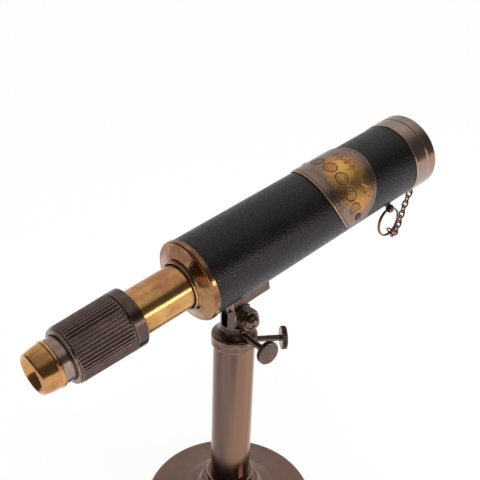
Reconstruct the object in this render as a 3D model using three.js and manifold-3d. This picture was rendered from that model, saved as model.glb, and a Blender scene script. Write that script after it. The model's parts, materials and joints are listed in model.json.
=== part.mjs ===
// A lens-type kaleidoscope in a telescope-style brass and leather body, on a pedestal stand.
// Millimetres, Z up. The origin is the centre of the foot's underside, on the column's axis.
// The tube lies in the XZ plane with its lens end towards +X, raised by TUBE_TILT.
// Places along the tube are measured from the point of its axis above the column.

import * as THREE from 'three';
import { mergeVertices } from 'three/addons/utils/BufferGeometryUtils.js';
import Module from 'manifold-3d';

const wasm = await Module();
wasm.setup();

// ---- Driving dimensions ----------------------------------------------------------------

const AXIS_HEIGHT = 210;
const TUBE_TILT = THREE.MathUtils.degToRad(10.26);
const GAP = 0.3;

// Barrel: a brass tube in a leather wrap, with a flange at the eye end and a cell at the lens end.
const BARREL_R = 26;
const LEATHER_T = 0.8;
const WALL_T = 1.0;
const BARREL_START = -37;
const LEATHER_END = 143.4;
const TUBE_END = 152.0;
const FLANGE_R = 26.7;
const BAND_R = 26.6;
const BAND_START = 143.7;
const BAND_END = 155.0;
const SPIGOT_R = 24.9;
const SPIGOT_END = 161.0;
const CAP_END = 164.5;

// Draw tube and the focusing grip on it.
const DRAW_R = 14.5;
const DRAW_WALL = 0.9;
const DRAW_INNER_END = -1;
const DRAW_OUTER_END = -116;
const GRIP_START = -82.3;
const GRIP_END = -128.4;
const BAND_WIDTH = 8;
const GRIP_BAND_R = 18.5;
const GRIP_REAR_R = 17.6;
const GRIP_FRONT_R = 18.3;
const FLUTES = 48;
const FLUTE_DEPTH = 0.6;
const NECK_R = 13.8;
const NECK_END = -134.4;
const KEY_AT = -107;
const KEY_R = 1.2;
const KEY_SLOT = 8.6;

// Mirrors: three strips make a triangular tunnel between two end discs.
const MIRROR_START = 32;
const MIRROR_END = 148;
const MIRROR_DISTANCE = 11.2;
const MIRROR_WIDTH = 38.2;
const MIRROR_T = 2;

// Nameplate, bent round the barrel; angles are from the top towards -Y.
const PLATE_AT = 82.8;
const PLATE_ANGLE = THREE.MathUtils.degToRad(24);
const PLATE_HALF_SPAN = THREE.MathUtils.degToRad(95);
const PLATE_HALF_WIDTH = 23.2;
const PLATE_T = 0.7;
const PLATE_SCREW_ANGLES = [102, -54].map(THREE.MathUtils.degToRad);

// Stand head: pivot, fork, neck and column, measured down from the tube axis.
const PIVOT_DROP = 43.7;
const PIVOT_R = 4;
const FORK_R = 9.5;
const FORK_TOP_DROP = 37.6;
const FORK_LEDGE_DROP = 51.7;
const FORK_FOOT_DROP = 54.2;
const CHEEK_Y = 7.1;
const SLOT_HALF = 2.9;
const TONGUE_HALF = 2.6;
const SADDLE_HALF_WIDTH = 9.5;
const SADDLE_FROM = -16;
const SADDLE_TO = 15.5;
const SADDLE_BOTTOM = -33.7;
const NECK_RIM_DROP = 61.5;
const HEAD_R = 15.35;
const HEAD_FOOT_DROP = 67.3;
const COLUMN_R = 13.8;
const COLUMN_BORE = 11.2;
const POST_R = 10.8;
const POST_LENGTH = 70;
const SPIGOT_PIN_R = 6;
const SCREW_SHAFT_R = 2.1;
const SCREW_HEAD_R = 7.8;
const SCREW_HEAD_T = 4;
const PAN_SCREW_DROP = 57.3;
const PAN_SCREW_ANGLE = THREE.MathUtils.degToRad(-93);
const PAN_SCREW_REACH = 35.4;
const LIFT_SCREW_DROP = 66.3;
const LIFT_SCREW_ANGLE = THREE.MathUtils.degToRad(-34);
const LIFT_SCREW_REACH = 35;

// Foot.
const FOOT_R = 60;
const FELT_T = 1.2;
const COLUMN_FOOT_Z = 32;

// Keeper ring and chain of the dust cap.
const STUD_AT = 123.5;
const STUD_ANGLE = THREE.MathUtils.degToRad(140);
const STUD_BALL_R = 3;
const STUD_REACH = 29.4;
const KEEPER_R = 10.2;
const KEEPER_WIRE_R = 1.1;
const LUG_AT = 157.4;
const LUG_ANGLE = THREE.MathUtils.degToRad(160);
const LUG_REACH = 29.3;
const LUG_EYE_R = 1.7;
const LUG_WIRE_R = 0.5;
const CHAIN_ANGLE = THREE.MathUtils.degToRad(25);
const CHAIN_PULL_LUG = 19;
const CHAIN_PULL_RING = 20;
const LINK_WIRE_R = 0.6;
const LINK_BEND_R = 1.85;
const LINK_STRAIGHT = 1.9;
const LINK_COUNT = 11;
const END_LINK_R = 3.2;

const ROUND = 32;
const INNER_ROUND = 24;
const BOLT_ROUND = 16;
const SMALL_ROUND = 12;

// ---- Materials -------------------------------------------------------------------------

const finish = (color, roughness, metalness) =>
  new THREE.MeshStandardMaterial({ color, roughness, metalness });
const polishedBrass = finish(0xc08a3e, 0.22, 1);
const darkBronze = finish(0x4a3a34, 0.38, 1);
const copperBronze = finish(0x8a5a40, 0.32, 1);
const gripBronze = finish(0x54453d, 0.42, 1);
const plateBrass = finish(0x9a7434, 0.36, 1);
const blackLeather = finish(0x17151a, 0.55, 0);
const lensGlass = finish(0xdfe9ee, 0.05, 0);
const mirrorGlass = finish(0xe8ecef, 0.05, 1);
const greenFelt = finish(0x26402f, 0.95, 0);

// ---- Shape helpers ---------------------------------------------------------------------

// Turns an outline of [radius, place] points, listed with the outer wall rising.
// An outline that doesn't start on the axis is closed on itself.
function turn(outline, segments = ROUND) {
  const points = outline.map(([radius, place]) => new THREE.Vector2(radius, place));
  if (outline[0][0] > 0) points.push(points[0].clone());
  return new THREE.LatheGeometry(points, segments);
}

const alongX = (geometry) => geometry.rotateZ(-Math.PI / 2);
const alongZ = (geometry) => geometry.rotateX(Math.PI / 2);
const tubeTurn = (outline, segments) => alongX(turn(outline, segments));
const columnTurn = (outline, segments) => alongZ(turn(outline, segments));

// The four-point outline of a plain ring or bush.
const ring = (inner, outer, from, to) => [[inner, from], [outer, from], [outer, to], [inner, to]];

// Points of a rounded corner, for use inside an outline; angles in degrees.
function arc(radiusAt, placeAt, radius, fromDeg, toDeg, steps = 3) {
  return Array.from({ length: steps + 1 }, (_, i) => {
    const angle = THREE.MathUtils.degToRad(fromDeg + ((toDeg - fromDeg) * i) / steps);
    return [radiusAt + radius * Math.cos(angle), placeAt + radius * Math.sin(angle)];
  });
}

function toSolid(geometry) {
  const bare = geometry.clone();
  bare.deleteAttribute('normal');
  bare.deleteAttribute('uv');
  const merged = mergeVertices(bare, 1e-4);
  const index = merged.index.array;
  const triangles = [];
  for (let i = 0; i < index.length; i += 3) {
    const [a, b, c] = index.slice(i, i + 3);
    if (a !== b && b !== c && c !== a) triangles.push(a, b, c);
  }
  const vertProperties = Float32Array.from(merged.attributes.position.array);
  const triVerts = Uint32Array.from(triangles);
  return new wasm.Manifold(new wasm.Mesh({ numProp: 3, vertProperties, triVerts }));
}

function toGeometry(solid) {
  const mesh = solid.getMesh();
  const geometry = new THREE.BufferGeometry();
  geometry.setAttribute('position', new THREE.BufferAttribute(Float32Array.from(mesh.vertProperties), 3));
  geometry.setIndex(new THREE.BufferAttribute(Uint32Array.from(mesh.triVerts), 1));
  geometry.computeVertexNormals();
  return geometry;
}

const cut = (body, ...cutters) =>
  toGeometry(cutters.reduce((solid, cutter) => solid.subtract(toSolid(cutter)), toSolid(body)));
const join = (...bodies) =>
  toGeometry(bodies.slice(1).reduce((solid, body) => solid.add(toSolid(body)), toSolid(bodies[0])));
const common = (body, other) => toGeometry(toSolid(body).intersect(toSolid(other)));

const box = (x0, x1, y0, y1, z0, z1) =>
  new THREE.BoxGeometry(x1 - x0, y1 - y0, z1 - z0).translate((x0 + x1) / 2, (y0 + y1) / 2, (z0 + z1) / 2);

// A rod along +Y, from one Y to another.
const rodY = (radius, from, to, segments = INNER_ROUND) =>
  new THREE.CylinderGeometry(radius, radius, to - from, segments).translate(0, (from + to) / 2, 0);

// A flat outline in the XZ plane, extruded from one Y to the other.
function slabXZ(shape, from, to, curveSegments = 8) {
  const slab = new THREE.ExtrudeGeometry(shape, { depth: to - from, bevelEnabled: false, curveSegments });
  return slab.rotateX(Math.PI / 2).translate(0, to, 0);
}

// Turns a piece built upwards along +Z so that it stands out of the tube at an angle from the top.
function standOut(geometry, along, angle) {
  return geometry.rotateX(angle).translate(along, 0, 0);
}

// Turns a piece built along +X so that it points outwards from the column.
const pointOut = (geometry, angle, height) => geometry.rotateZ(angle).translate(0, 0, height);

// The place in the tube's own frame of a point at an angle from the top towards -Y.
const onTube = (along, radius, angle) =>
  new THREE.Vector3(along, -radius * Math.sin(angle), radius * Math.cos(angle));

const model = new THREE.Group();
const tube = new THREE.Group();
tube.position.z = AXIS_HEIGHT;
tube.rotation.y = -TUBE_TILT;
model.add(tube);
tube.updateMatrixWorld(true);

function part(parent, name, material, geometry) {
  const mesh = new THREE.Mesh(geometry, material);
  mesh.name = name;
  parent.add(mesh);
}

// ---- Foot and column -------------------------------------------------------------------

const columnTop = AXIS_HEIGHT - NECK_RIM_DROP - GAP;

function buildFoot() {
  const bottom = FELT_T + GAP;
  part(model, 'base_felt', greenFelt, columnTurn([
    [0, 0], [FOOT_R - 2, 0], [FOOT_R - 2, FELT_T], [0, FELT_T],
  ]));
  part(model, 'base_body', copperBronze, columnTurn([
    [10, bottom], [FOOT_R - 1, bottom], ...arc(FOOT_R - 2.5, bottom + 3.2, 2.5, -40, 90),
    [FOOT_R - 6, bottom + 6.4], [FOOT_R - 12, bottom + 8.4], [32, bottom + 13], [21, bottom + 19],
    ...arc(18.6, bottom + 22.2, 2, -60, 90, 3), [16.4, 26.5], [16.4, COLUMN_FOOT_Z - GAP],
    [11.4, COLUMN_FOOT_Z - GAP], [11.4, 17], [4.5, 17], [4.5, 10], [10, 10],
  ]));
  part(model, 'column_foot', darkBronze, columnTurn([
    [11, 17.3], [11, 48], [4.3, 48], [4.3, 17.3],
  ], BOLT_ROUND));
  part(model, 'base_bolt', darkBronze, columnTurn([
    [0, 2.4], [7, 2.4], [7, 8], [4, 8], [4, 38], [0, 38],
  ], BOLT_ROUND));
  part(model, 'base_washer', darkBronze, columnTurn(ring(4.3, 9.4, 8.3, 9.7), BOLT_ROUND));
}

function buildColumn() {
  const headFoot = AXIS_HEIGHT - HEAD_FOOT_DROP;
  const wall = columnTurn([
    [COLUMN_BORE, COLUMN_FOOT_Z], [COLUMN_R, COLUMN_FOOT_Z], [COLUMN_R, headFoot], [HEAD_R - 0.3, headFoot],
    [HEAD_R, headFoot + 0.3], [HEAD_R, columnTop], [COLUMN_BORE, columnTop],
  ]);
  const hole = rodY(SCREW_SHAFT_R + GAP, 5, 20, SMALL_ROUND).rotateZ(-Math.PI / 2);
  part(model, 'column_tube', copperBronze,
    cut(wall, pointOut(hole, LIFT_SCREW_ANGLE, AXIS_HEIGHT - LIFT_SCREW_DROP)));
}

// A thumbscrew along +X from its tip, with a knurled flat head.
function thumbscrew(tip, reach) {
  const shaft = tubeTurn([
    [0, tip], [SCREW_SHAFT_R - 0.6, tip], [SCREW_SHAFT_R, tip + 0.8], [SCREW_SHAFT_R, reach - SCREW_HEAD_T],
    [0, reach - SCREW_HEAD_T],
  ], SMALL_ROUND);
  const edge = new THREE.Shape();
  const teeth = 20;
  for (let i = 0; i < teeth * 2; i++) {
    const angle = (i * Math.PI) / teeth;
    const radius = i % 2 ? SCREW_HEAD_R - 0.4 : SCREW_HEAD_R;
    if (i) edge.lineTo(radius * Math.cos(angle), radius * Math.sin(angle));
    else edge.moveTo(radius, 0);
  }
  const head = new THREE.ExtrudeGeometry(edge, { depth: SCREW_HEAD_T + 0.1, bevelEnabled: false });
  head.rotateY(Math.PI / 2).translate(reach - SCREW_HEAD_T - 0.1, 0, 0);
  return join(shaft, head);
}

// ---- Stand head ------------------------------------------------------------------------

function buildNeck() {
  const foot = AXIS_HEIGHT - NECK_RIM_DROP;
  const body = columnTurn([
    [SPIGOT_PIN_R + GAP, foot - 8], [8, foot - 8], [8, foot], [HEAD_R, foot], [HEAD_R, foot + 1.2],
    [14.7, foot + 2.1], [12.4, foot + 3.4], [10.7, foot + 4.8], [9.8, foot + 6.2],
    [9.6, AXIS_HEIGHT - FORK_FOOT_DROP - 0.5], [SPIGOT_PIN_R + GAP, AXIS_HEIGHT - FORK_FOOT_DROP - 0.5],
  ]);
  const hole = rodY(SCREW_SHAFT_R + GAP, 3, 20, SMALL_ROUND).rotateZ(-Math.PI / 2);
  part(model, 'neck_collar', darkBronze,
    cut(body, pointOut(hole, PAN_SCREW_ANGLE, AXIS_HEIGHT - PAN_SCREW_DROP)));
  part(model, 'lift_post', copperBronze,
    columnTurn(ring(8.4, POST_R, columnTop - POST_LENGTH, columnTop), INNER_ROUND));
  part(model, 'pan_thumbscrew', darkBronze, pointOut(
    thumbscrew(SPIGOT_PIN_R + GAP, PAN_SCREW_REACH), PAN_SCREW_ANGLE, AXIS_HEIGHT - PAN_SCREW_DROP));
  part(model, 'lift_thumbscrew', darkBronze, pointOut(
    thumbscrew(POST_R + GAP, LIFT_SCREW_REACH), LIFT_SCREW_ANGLE, AXIS_HEIGHT - LIFT_SCREW_DROP));
}

const pivotZ = AXIS_HEIGHT - PIVOT_DROP;

function buildFork() {
  const top = AXIS_HEIGHT - FORK_TOP_DROP;
  const foot = AXIS_HEIGHT - FORK_FOOT_DROP;
  const ledge = AXIS_HEIGHT - FORK_LEDGE_DROP;
  const stock = columnTurn([
    [0, foot - 19], [SPIGOT_PIN_R, foot - 19], [SPIGOT_PIN_R, foot], [FORK_R, foot], [FORK_R, top], [0, top],
  ]);
  const crown = new THREE.Shape();
  crown.moveTo(-FORK_R - 1, foot - 20);
  crown.lineTo(FORK_R + 1, foot - 20);
  crown.lineTo(FORK_R + 1, pivotZ + 1);
  crown.absarc(FORK_R - 5.2, pivotZ + 0.9, 5.2, 0, Math.PI / 2);
  crown.absarc(5.2 - FORK_R, pivotZ + 0.9, 5.2, Math.PI / 2, Math.PI);
  crown.lineTo(-FORK_R - 1, pivotZ + 1);
  const rounded = common(stock, slabXZ(crown, -12, 12));
  const reach = FORK_R + 2;
  part(model, 'fork', darkBronze, cut(rounded,
    box(-reach, reach, -SLOT_HALF, SLOT_HALF, ledge, top + 2),
    box(-reach, reach, CHEEK_Y, reach, ledge, top + 2),
    box(-reach, reach, -reach, -CHEEK_Y, ledge, top + 2),
    rodY(PIVOT_R + GAP, -12, 12).translate(0, 0, pivotZ),
    rodY(1.9, -1, 12, SMALL_ROUND).rotateX(Math.PI / 2).translate(0, 0, foot - 21)));
  part(model, 'fork_retainer_screw', darkBronze, columnTurn([
    [0, foot - 22], [7.4, foot - 22], [7.4, foot - 20], [1.6, foot - 20], [1.6, foot - 11], [0, foot - 11],
  ], BOLT_ROUND));
}

function buildPivot() {
  const washerT = 1.0;
  const face = CHEEK_Y + 0.2;
  const washer = (from) => alongX(turn(ring(PIVOT_R + GAP, 7, from, from + washerT), BOLT_ROUND))
    .rotateZ(Math.PI / 2).translate(0, 0, pivotZ);
  part(model, 'pivot_washer_near', darkBronze, washer(-face - washerT));
  part(model, 'pivot_washer_far', darkBronze, washer(face));
  const headFrom = face + washerT + 0.2;
  const bolt = turn([
    [0, -15.5], [PIVOT_R, -15.5], [PIVOT_R, headFrom], [6.4, headFrom], [6.4, headFrom + 2.4],
    [5, headFrom + 3.8], [0, headFrom + 4],
  ], INNER_ROUND);
  const slot = box(-7, 7, headFrom + 2.6, headFrom + 5, -0.6, 0.6);
  part(model, 'pivot_bolt', darkBronze, cut(bolt, slot).translate(0, 0, pivotZ));
  const nutFrom = -face - washerT - 0.2;
  const hexagon = new THREE.CylinderGeometry(7.5, 7.5, nutFrom + 15.6, 6).rotateY(Math.PI / 6);
  const nutBody = hexagon.translate(0, (nutFrom - 15.6) / 2, 0).rotateY(-TUBE_TILT);
  const dome = turn([[0, -20.7], ...arc(0, -15.3, 5.4, -75, 0, 5), [5.4, -15], [0, -15]], INNER_ROUND);
  const bore = rodY(PIVOT_R + 0.15, -16, 0);
  part(model, 'pivot_cap_nut', copperBronze, cut(join(nutBody, dome), bore).translate(0, 0, pivotZ));
}

// ---- Saddle ----------------------------------------------------------------------------

// The pivot's place in the tube's frame.
const pivotAlong = -PIVOT_DROP * Math.sin(TUBE_TILT);
const pivotBelow = -PIVOT_DROP * Math.cos(TUBE_TILT);
const SADDLE_SCREWS = [-10, 10];
const SADDLE_SCREW_R = 1.5;

const radialHole = (radius, from, to, along, angle) =>
  standOut(rodY(radius, from, to, SMALL_ROUND).rotateX(Math.PI / 2), along, angle);

function buildSaddle() {
  const block = box(SADDLE_FROM, SADDLE_TO, -SADDLE_HALF_WIDTH, SADDLE_HALF_WIDTH, SADDLE_BOTTOM, -23);
  const lug = new THREE.Shape();
  lug.moveTo(pivotAlong - 7.6, SADDLE_BOTTOM + 1);
  lug.lineTo(pivotAlong - 6.6, pivotBelow);
  lug.absarc(pivotAlong, pivotBelow, 6.6, Math.PI, 2 * Math.PI);
  lug.lineTo(pivotAlong + 7.6, SADDLE_BOTTOM + 1);
  const tongue = slabXZ(lug, -TONGUE_HALF, TONGUE_HALF);
  const barrelSpace = tubeTurn([[0, -60], [BARREL_R + GAP, -60], [BARREL_R + GAP, 60], [0, 60]]);
  part(tube, 'mount_saddle', darkBronze, cut(join(block, tongue), barrelSpace,
    rodY(PIVOT_R + GAP, -5, 5).translate(pivotAlong, 0, pivotBelow),
    ...SADDLE_SCREWS.map((along) => radialHole(SADDLE_SCREW_R + GAP, 20, 31.5, along, Math.PI))));
  SADDLE_SCREWS.forEach((along, i) => {
    const screw = columnTurn([
      [0, 21.6], [3, 21.6], [3, 23.4], [SADDLE_SCREW_R, 23.4], [SADDLE_SCREW_R, 31], [0, 31],
    ], SMALL_ROUND);
    part(tube, `saddle_screw_${i + 1}`, darkBronze, standOut(screw, along, Math.PI));
  });
}

// ---- Barrel ----------------------------------------------------------------------------

const leatherInner = BARREL_R - LEATHER_T;
const tubeOuter = leatherInner - GAP;
const tubeInner = tubeOuter - WALL_T;

// Cutters for the fixings that pass through the barrel's wall and its leather.
const wallHoles = () => [
  ...SADDLE_SCREWS.map((along) => radialHole(SADDLE_SCREW_R + GAP, 20, 30, along, Math.PI)),
  ...PLATE_SCREW_ANGLES.map((angle) => radialHole(1.5, 20, 30, PLATE_AT, angle)),
  radialHole(1.8, 20, 30, STUD_AT, STUD_ANGLE),
];

function buildBarrel() {
  part(tube, 'barrel_tube', polishedBrass,
    cut(tubeTurn(ring(tubeInner, tubeOuter, BARREL_START + 0.6, TUBE_END)), ...wallHoles()));
  part(tube, 'leather_wrap', blackLeather,
    cut(tubeTurn(ring(leatherInner, BARREL_R, BARREL_START + GAP, LEATHER_END)), ...wallHoles()));
  part(tube, 'draw_flange', polishedBrass, tubeTurn([
    [15.2, -46.2], [16.1, -46.2], [16.5, -45.6], [16.4, -44.7], [17.6, -43.6], [19.6, -42.6],
    [22.2, -41.6], [24.8, -40.8], ...arc(25.1, -39.3, 1.6, -60, 0, 3), [FLANGE_R, BARREL_START],
    [23.5, BARREL_START], [23.5, -29], [15.2, -29],
  ]));
  part(tube, 'draw_stop_ring', darkBronze,
    tubeTurn(ring(DRAW_R + GAP, 17.2, DRAW_INNER_END - 4, DRAW_INNER_END - 1), INNER_ROUND));
  part(tube, 'lens_cell', darkBronze, tubeTurn([
    [leatherInner, BAND_START], [BAND_R - 0.4, BAND_START], [BAND_R, BAND_START + 0.5], [BAND_R, BAND_END],
    [SPIGOT_R, BAND_END], [SPIGOT_R, SPIGOT_END], [23.4, SPIGOT_END], [23.4, 156], [21.2, 156],
    [21.2, TUBE_END + GAP], [leatherInner, TUBE_END + GAP],
  ]));
  part(tube, 'objective_lens', lensGlass, tubeTurn([
    [0, 156.3], [23, 156.3], [23, 158.2], [17, 159.3], [9, 160.3], [0, 160.6],
  ], INNER_ROUND));
  part(tube, 'lens_retaining_ring', darkBronze, tubeTurn(ring(21.2, 23, 159, 160.7)));
}

// ---- Mirrors ---------------------------------------------------------------------------

function buildMirrors() {
  const half = MIRROR_WIDTH / 2;
  const strip = () => box(MIRROR_START, MIRROR_END, -half, half, -MIRROR_DISTANCE - MIRROR_T, -MIRROR_DISTANCE);
  for (let i = 0; i < 3; i++) {
    part(tube, `mirror_${i + 1}`, mirrorGlass, strip().rotateX((i * 2 * Math.PI) / 3));
  }
  const discR = tubeInner - 0.4;
  part(tube, 'mirror_disc_eye_end', darkBronze,
    tubeTurn(ring(7, discR, MIRROR_START - 2.3, MIRROR_START - GAP), INNER_ROUND));
  part(tube, 'mirror_disc_lens_end', darkBronze,
    tubeTurn(ring(11, discR, MIRROR_END + GAP, MIRROR_END + 2.3), INNER_ROUND));
}

// ---- Nameplate -------------------------------------------------------------------------

// The plate narrows towards its rounded ends; u runs from -1 to 1 along its length.
const plateHalfWidth = (u) => PLATE_HALF_WIDTH * Math.sqrt(1 - Math.pow(Math.abs(u) * 0.985, 1.7));

function buildNameplate() {
  const innerR = BARREL_R + GAP;
  const sheet = new THREE.BoxGeometry(2, 2, PLATE_T, 26, 1, 1);
  const place = sheet.attributes.position;
  for (let i = 0; i < place.count; i++) {
    const u = place.getX(i);
    const radius = innerR + place.getZ(i) + PLATE_T / 2;
    const at = onTube(PLATE_AT + place.getY(i) * plateHalfWidth(u), radius, PLATE_ANGLE + u * PLATE_HALF_SPAN);
    place.setXYZ(i, at.x, at.y, at.z);
  }
  const holes = PLATE_SCREW_ANGLES.map((angle) => radialHole(1.5, 24, 30, PLATE_AT, angle));
  part(tube, 'nameplate', plateBrass, cut(sheet, ...holes));
  PLATE_SCREW_ANGLES.forEach((angle, i) => {
    const seat = innerR + PLATE_T + 0.2;
    const screw = columnTurn([
      [0, 23], [1.2, 23], [1.2, seat], [2.9, seat], [2.6, seat + 0.7], [1.4, seat + 1.1], [0, seat + 1.2],
    ], SMALL_ROUND);
    part(tube, `nameplate_screw_${i + 1}`, darkBronze, standOut(screw, PLATE_AT, angle));
  });
}

// ---- Draw tube, grip and eyepiece ------------------------------------------------------

function buildDrawTube() {
  const wall = tubeTurn(ring(DRAW_R - DRAW_WALL, DRAW_R, DRAW_OUTER_END, DRAW_INNER_END), INNER_ROUND);
  const half = KEY_SLOT / 2;
  const keySlot = box(KEY_AT - half, KEY_AT + half, -KEY_R - GAP, KEY_R + GAP, 10, 18);
  part(tube, 'draw_tube', polishedBrass, cut(wall, keySlot));
}

// The sleeve's outer wall alternates between flute crests and valleys behind its plain band.
function buildGrip() {
  const bandEnd = GRIP_START - BAND_WIDTH;
  const boreR = DRAW_R + 0.4;
  const outline = [
    [NECK_R + 0.5, GRIP_END + 1.7], [17.3, GRIP_END + 1.7], [GRIP_REAR_R, GRIP_END + 2.1],
    [GRIP_FRONT_R, bandEnd - 1], [17.6, bandEnd - 0.3], [GRIP_BAND_R, bandEnd], [GRIP_BAND_R, GRIP_START],
    [boreR, GRIP_START], [boreR, GRIP_START - 3], [16.2, GRIP_START - 3], [16.2, GRIP_END + 4.6],
    [NECK_R + 0.5, GRIP_END + 4.6],
  ];
  const fluted = turn(outline, FLUTES * 2);
  const place = fluted.attributes.position;
  const rows = outline.length + 1;
  for (let i = 0; i < place.count; i++) {
    const valley = Math.floor(i / rows) % 2 === 1;
    const onFlutes = i % rows === 2 || i % rows === 3;
    if (!valley || !onFlutes) continue;
    const radius = Math.hypot(place.getX(i), place.getZ(i));
    const shrink = (radius - FLUTE_DEPTH) / radius;
    place.setXYZ(i, place.getX(i) * shrink, place.getY(i), place.getZ(i) * shrink);
  }
  part(tube, 'grip_sleeve', gripBronze, alongX(fluted));
  part(tube, 'grip_end_ring', darkBronze, tubeTurn([
    [NECK_R + 0.5, GRIP_END], [16.4, GRIP_END], [17.1, GRIP_END + 0.5], [17.1, GRIP_END + 1.4],
    [NECK_R + 0.5, GRIP_END + 1.4],
  ], INNER_ROUND));
}

function buildEyepiece() {
  part(tube, 'eyepiece_tube', darkBronze, tubeTurn([
    [12.2, NECK_END], [NECK_R, NECK_END], [NECK_R, -119], [13.2, -119], [13.2, -98], [12.2, -98],
  ], INNER_ROUND));
  part(tube, 'eyecup', polishedBrass, tubeTurn([
    [6, NECK_END - 7.5], [9, NECK_END - 11.6], ...arc(10.6, NECK_END - 11.4, 2, -110, -20, 3),
    [13.6, NECK_END - 6.6], [14.1, NECK_END - 2.4], [14.4, NECK_END - 1.4], [14.1, NECK_END - GAP],
    [11.9, NECK_END - GAP], [11.9, NECK_END + 6], [11, NECK_END + 6], [11, NECK_END - 5.4], [6, NECK_END - 5.4],
  ], INNER_ROUND));
  part(tube, 'eyepiece_lens', lensGlass, tubeTurn([
    [0, NECK_END - 5.1], [10.7, NECK_END - 4.2], [10.7, NECK_END - 3], [6, NECK_END - 2.2], [0, NECK_END - 1.9],
  ], INNER_ROUND));
  part(tube, 'eyepiece_lens_ring', darkBronze,
    tubeTurn(ring(9.2, 10.7, NECK_END - 2, NECK_END - 0.4), INNER_ROUND));
  const key = columnTurn([[0, 13.5], [KEY_R, 13.5], [KEY_R, 15.9], [0, 15.9]], SMALL_ROUND);
  part(tube, 'focus_key', darkBronze, key.translate(KEY_AT, 0, 0));
}

// ---- Dust cap, keeper ring and chain ---------------------------------------------------

function buildDustCap() {
  const skirtInner = SPIGOT_R + 0.35;
  part(tube, 'dust_cap', darkBronze, cut(tubeTurn([
    [0, 162.7], [skirtInner, 162.7], [skirtInner, BAND_END + GAP], [BAND_R - 0.3, BAND_END + GAP],
    [BAND_R, BAND_END + 0.8], ...arc(BAND_R - 1.6, CAP_END - 1.6, 1.6, 0, 80, 3), [24.2, CAP_END - 0.3],
    [23.6, CAP_END - 0.7], [0, CAP_END - 0.7],
  ]), radialHole(1.0, 25.6, 30, LUG_AT, LUG_ANGLE)));
  const lug = columnTurn([
    [0, 25.9], [0.7, 25.9], [0.7, 27.2], [1.7, 27.2], [1.7, 27.8], [0, 27.8],
  ], SMALL_ROUND);
  const eye = new THREE.TorusGeometry(LUG_EYE_R, LUG_WIRE_R, 6, 12).rotateX(Math.PI / 2);
  eye.translate(0, 0, LUG_REACH);
  part(tube, 'cap_lug', darkBronze, standOut(join(lug, eye), LUG_AT, LUG_ANGLE));
}

const worldOnTube = (along, radius, angle) => onTube(along, radius, angle).applyMatrix4(tube.matrixWorld);

function buildKeeperRing() {
  const stud = columnTurn([
    [0, 23.2], [1.5, 23.2], [1.5, STUD_REACH - 2.4], [0, STUD_REACH - 2.4],
  ], SMALL_ROUND);
  const ball = new THREE.SphereGeometry(STUD_BALL_R, 16, 10).translate(0, 0, STUD_REACH);
  const centre = onTube(STUD_AT, STUD_REACH, STUD_ANGLE);
  const eye = rodY(KEEPER_WIRE_R + 0.8, -5, 5, SMALL_ROUND).rotateZ(Math.PI / 2).rotateY(TUBE_TILT)
    .translate(centre.x, centre.y, centre.z - 0.2);
  part(tube, 'keeper_stud', darkBronze, cut(standOut(join(stud, ball), STUD_AT, STUD_ANGLE), eye));
  const top = worldOnTube(STUD_AT, STUD_REACH, STUD_ANGLE);
  const keeper = new THREE.TorusGeometry(KEEPER_R, KEEPER_WIRE_R, 6, 28).rotateX(Math.PI / 2);
  part(model, 'keeper_ring', copperBronze, keeper.translate(top.x, top.y, top.z - KEEPER_R));
  return top;
}

// A chain link: a small torus whose two halves are moved apart to make an oval along X.
function link(bendR, straight) {
  const oval = new THREE.TorusGeometry(bendR, LINK_WIRE_R, 5, 12);
  const place = oval.attributes.position;
  for (let i = 0; i < place.count; i++) {
    const x = place.getX(i);
    if (Math.abs(x) > 1e-4) place.setX(i, x + (Math.sign(x) * straight) / 2);
  }
  return oval;
}

// The chain sags from the cap's lug to the keeper ring. Its two end links hang in the lug's eye
// and in the ring, and every other link is turned a quarter turn.
function buildChain(keeperTop) {
  const clearance = 2 * LINK_WIRE_R + GAP;
  const fromLug = new THREE.Vector3(-0.68, -0.12, -0.72).normalize();
  const fromRing = new THREE.Vector3(Math.sin(CHAIN_ANGLE), 0, -Math.cos(CHAIN_ANGLE));
  const from = worldOnTube(LUG_AT, LUG_REACH, LUG_ANGLE).addScaledVector(fromLug, LUG_EYE_R - clearance);
  const to = keeperTop.clone().add(new THREE.Vector3(0, 0, -KEEPER_R));
  to.addScaledVector(fromRing, KEEPER_R - END_LINK_R);
  const sag = new THREE.CubicBezierCurve3(from, from.clone().addScaledVector(fromLug, CHAIN_PULL_LUG),
    to.clone().addScaledVector(fromRing, CHAIN_PULL_RING), to);
  const linkHalf = LINK_BEND_R + LINK_STRAIGHT / 2;
  const length = sag.getLength();
  const lastStep = END_LINK_R + linkHalf - clearance + 0.15;
  const pitch = (length - linkHalf - END_LINK_R - lastStep) / (LINK_COUNT - 2);
  for (let i = 0; i < LINK_COUNT; i++) {
    const last = i === LINK_COUNT - 1;
    const t = last ? 1 - END_LINK_R / length : (linkHalf + i * pitch) / length;
    const along = sag.getTangentAt(t);
    const side = new THREE.Vector3(0, 1, 0).cross(along).normalize();
    const up = along.clone().cross(side);
    const across = i % 2 ? side : up;
    const basis = new THREE.Matrix4().makeBasis(along, across, along.clone().cross(across));
    basis.setPosition(sag.getPointAt(t));
    const shape = last ? link(END_LINK_R, 0) : link(LINK_BEND_R, LINK_STRAIGHT);
    part(model, `chain_link_${i + 1}`, copperBronze, shape.applyMatrix4(basis));
  }
}

buildFoot();
buildColumn();
buildNeck();
buildFork();
buildPivot();
buildSaddle();
buildBarrel();
buildMirrors();
buildNameplate();
buildDrawTube();
buildGrip();
buildEyepiece();
buildDustCap();
buildChain(buildKeeperRing());

export default model;
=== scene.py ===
"""Looks of the tabletop kaleidoscope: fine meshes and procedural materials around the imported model."""
import json
import math

import bpy
import bmesh
import numpy as np
from mathutils import Matrix, Vector


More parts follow.
